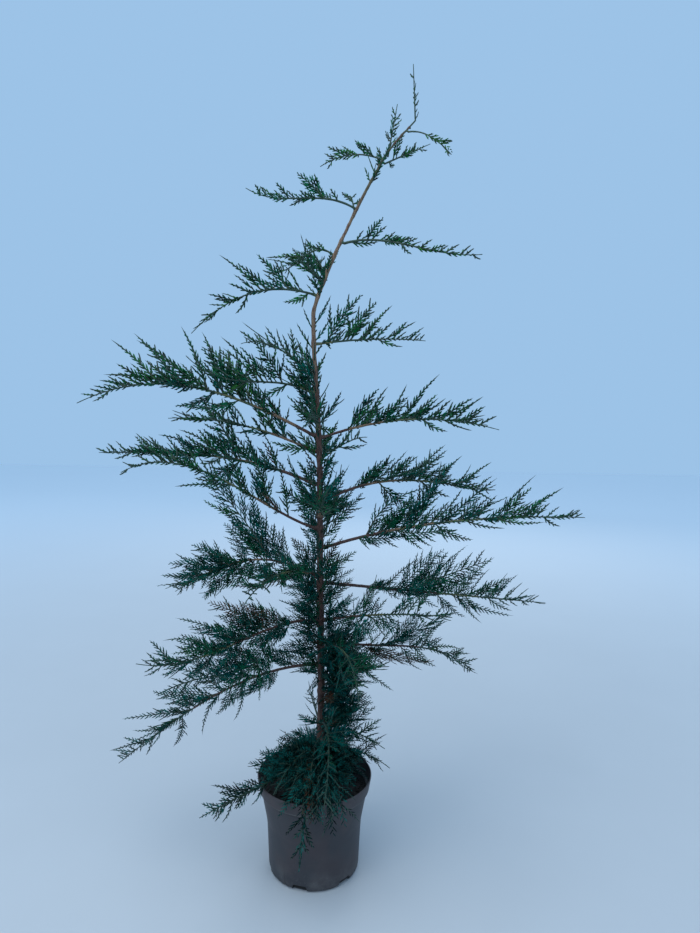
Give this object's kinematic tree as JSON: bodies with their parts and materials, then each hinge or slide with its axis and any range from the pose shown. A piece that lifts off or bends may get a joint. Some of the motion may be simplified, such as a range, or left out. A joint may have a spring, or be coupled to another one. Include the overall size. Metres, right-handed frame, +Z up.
{
  "type": "potted cypress tree",
  "caption": "Young leyland cypress in a round tapered nursery pot: slender leaning trunk, tiered ascending boughs and flat feathery sprays of scale-like foliage.",
  "frame": {"origin": "middle of the pot's flat underside", "axes": "+Z up along the trunk, X along the widest spread of the crown, -Y towards the side seen in the picture"},
  "size_m": [0.8539, 0.4571, 1.392],
  "materials": {
    "pot_plastic": "matt, slightly dusty",
    "soil": "rough, damp",
    "bark": "rough",
    "foliage": "soft satin"
  },
  "bodies": {
    "root": {"bough_left_10": "bark", "bough_left_11": "bark", "bough_left_12": "bark", "bough_left_6": "bark", "bough_left_8": "bark", "bough_left_9": "bark", "bough_right_3": "bark", "bough_right_5": "bark", "bough_right_6": "bark", "bough_right_7": "bark", "bough_right_9": "bark", "foliage_back_1": "foliage", "foliage_back_2": "foliage", "foliage_back_3": "foliage", "foliage_back_4": "foliage", "foliage_back_5": "foliage", "foliage_back_6": "foliage", "foliage_back_7": "foliage", "foliage_front_1": "foliage", "foliage_front_2": "foliage", "foliage_front_3": "foliage", "foliage_front_4": "foliage", "foliage_front_5": "foliage", "foliage_front_6": "foliage", "foliage_front_7": "foliage", "foliage_leader": "foliage", "foliage_left_1": "foliage", "foliage_left_10": "foliage", "foliage_left_11": "foliage", "foliage_left_12": "foliage", "foliage_left_13": "foliage", "foliage_left_14": "foliage", "foliage_left_2": "foliage", "foliage_left_3": "foliage", "foliage_left_4": "foliage", "foliage_left_5": "foliage", "foliage_left_6": "foliage", "foliage_left_7": "foliage", "foliage_left_8": "foliage", "foliage_left_9": "foliage", "foliage_right_1": "foliage", "foliage_right_10": "foliage", "foliage_right_11": "foliage", "foliage_right_12": "foliage", "foliage_right_2": "foliage", "foliage_right_3": "foliage", "foliage_right_4": "foliage", "foliage_right_5": "foliage", "foliage_right_6": "foliage", "foliage_right_7": "foliage", "foliage_right_8": "foliage", "foliage_right_9": "foliage", "foliage_top_1": "foliage", "foliage_top_2": "foliage", "foliage_top_3": "foliage", "foliage_top_4": "foliage", "foliage_top_5": "foliage", "pot": "pot_plastic", "soil": "soil", "trunk": "bark"}
  },
  "joints": []
}
